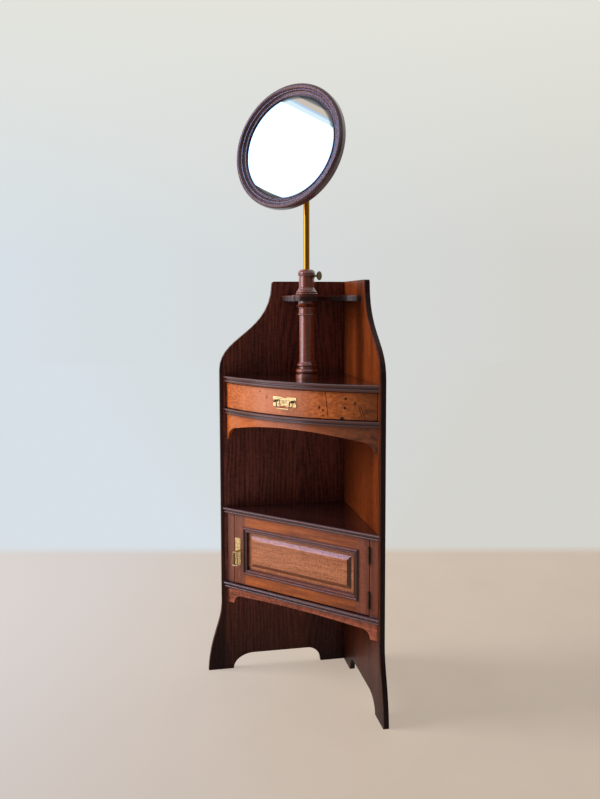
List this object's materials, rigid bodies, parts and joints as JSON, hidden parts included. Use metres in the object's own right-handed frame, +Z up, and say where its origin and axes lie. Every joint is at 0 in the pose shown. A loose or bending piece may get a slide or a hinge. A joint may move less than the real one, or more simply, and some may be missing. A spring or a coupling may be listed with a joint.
{
  "type": "shaving stand",
  "caption": "corner shaving stand with an arched back, bowed drawer, open shelf, fielded cupboard door and a round tilting mirror on a sliding brass rod",
  "frame": {"origin": "middle of the plan's bounding box with the mirror facing the front, on the floor", "axes": "+Z is up and the long way; the front with the drawer and door faces -Y; the corner of the boards points to +Y; +X is the viewer's right"},
  "size_m": [0.6646, 0.3824, 1.8234],
  "materials": {
    "board_wood": "french polished, dark",
    "board_wood_warm": "french polished, warm",
    "front_wood": "french polished, faded",
    "moulded_wood": "french polished, glossy edges",
    "turned_wood": "french polished, turned",
    "mirror_wood": "french polished, glossy",
    "inner_pine": "bare",
    "rod_brass": "polished",
    "fitting_brass": "aged",
    "dark_brass": "tarnished",
    "screw_steel": "dull",
    "mirror_glass": "silvered"
  },
  "bodies": {
    "cabinet": {"left_board": "board_wood", "right_board": "board_wood_warm", "left_board_screws": "screw_steel", "right_board_screws": "screw_steel", "upper_shelf": "moulded_wood", "table_top": "moulded_wood", "drawer_shelf": "moulded_wood", "middle_shelf": "moulded_wood", "cupboard_floor": "moulded_wood", "upper_apron": "front_wood", "upper_apron_blocks": "inner_pine", "lower_apron": "front_wood", "lower_apron_blocks": "inner_pine", "left_fixed_stile": "board_wood_warm", "right_fixed_stile": "board_wood_warm", "drawer_guides": "inner_pine", "drawer_kickers": "inner_pine", "column_shaft": "turned_wood", "column_neck": "turned_wood", "rod_tube": "rod_brass", "clamp_bush": "dark_brass", "catch_plate": "fitting_brass", "hinge_frame_leaves": "fitting_brass", "hinge_frame_screws": "screw_steel"},
    "thumb_screw": {"thumb_screw": "dark_brass"},
    "rod": {"rod": "rod_brass"},
    "mirror_arm": {"mirror_arm": "rod_brass", "pivot_bolt": "rod_brass", "pivot_nut": "rod_brass"},
    "mirror": {"mirror_frame": "mirror_wood", "mirror_glass": "mirror_glass", "mirror_back": "inner_pine", "mirror_back_screws": "screw_steel", "mirror_plate": "rod_brass", "mirror_plate_screws": "screw_steel"},
    "drawer": {"drawer_front": "front_wood", "drawer_left_side": "inner_pine", "drawer_right_side": "inner_pine", "drawer_back": "inner_pine", "drawer_bottom": "inner_pine", "handle_plate": "fitting_brass", "handle_posts": "fitting_brass", "handle_nuts": "fitting_brass"},
    "drawer_bail": {"drawer_bail": "fitting_brass"},
    "door": {"door_latch_stile": "board_wood_warm", "door_hinge_stile": "board_wood_warm", "door_top_rail": "front_wood", "door_bottom_rail": "front_wood", "door_panel": "front_wood", "door_moulding_top": "moulded_wood", "door_moulding_bottom": "moulded_wood", "door_moulding_left": "moulded_wood", "door_moulding_right": "moulded_wood", "latch_plate": "fitting_brass", "latch_stud": "fitting_brass", "ball_catch": "fitting_brass", "hinge_door_leaves": "fitting_brass", "hinge_pins": "fitting_brass", "hinge_door_screws": "screw_steel"},
    "door_ring": {"latch_ring": "fitting_brass"}
  },
  "joints": [
    {"name": "rod_slide", "type": "slide", "parent": "cabinet", "child": "rod", "axis": [0, 0, 1], "range_m": [-0.14, 0.04]},
    {"name": "mirror_swivel", "type": "hinge", "parent": "rod", "child": "mirror_arm", "pos_m": [0, -0.05415, 1.62], "axis": [0, 0, 1], "continuous": true},
    {"name": "mirror_tilt", "type": "hinge", "parent": "mirror_arm", "child": "mirror", "pos_m": [0, -0.09415, 1.632], "axis": [-1, 0, 0], "range_deg": [-30, 45]},
    {"name": "thumb_screw_turn", "type": "hinge", "parent": "cabinet", "child": "thumb_screw", "pos_m": [0.04, -0.05415, 1.274], "axis": [1, 0, 0], "range_deg": [0, 360]},
    {"name": "drawer_slide", "type": "slide", "parent": "cabinet", "child": "drawer", "axis": [0, -1, 0], "range_m": [0, 0.11]},
    {"name": "drawer_bail_swing", "type": "hinge", "parent": "drawer", "child": "drawer_bail", "pos_m": [-0.00911, -0.16812, 0.9055], "axis": [-0.9999, 0.0127, 0], "range_deg": [-8, 85]},
    {"name": "door_hinge", "type": "hinge", "parent": "cabinet", "child": "door", "pos_m": [0.24725, -0.10855, 0.4075], "axis": [0, 0, 1], "range_deg": [0, 145]},
    {"name": "door_ring_swing", "type": "hinge", "parent": "door", "child": "door_ring", "pos_m": [-0.232, -0.12225, 0.4015], "axis": [-1, 0, 0], "range_deg": [-8, 85]}
  ]
}
